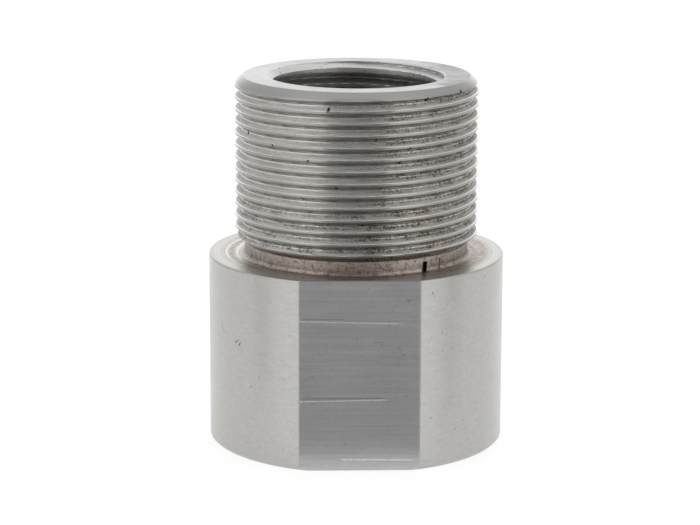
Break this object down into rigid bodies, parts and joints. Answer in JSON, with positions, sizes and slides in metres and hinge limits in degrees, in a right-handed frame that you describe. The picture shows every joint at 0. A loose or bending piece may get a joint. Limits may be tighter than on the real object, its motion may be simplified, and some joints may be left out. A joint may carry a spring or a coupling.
{
  "type": "pipe coupling",
  "caption": "Turned pipe coupling: male parallel thread on a spigot above a shouldered body, female threads at both ends, wrench flats, through bore and a sealing ring in the socket.",
  "frame": {"origin": "centre of the bottom face of the body, on the common axis of all threads and bores", "axes": "+Z along the axis towards the male thread; the two wrench flats face -Y and +Y"},
  "size_m": [0.058, 0.0534, 0.0723],
  "materials": {
    "turned_stainless": "fine turned, slightly stained in the thread roots",
    "ring_rubber": "matt black"
  },
  "bodies": {
    "root": {"coupling_body": "turned_stainless", "sealing_ring": "ring_rubber"}
  },
  "joints": []
}
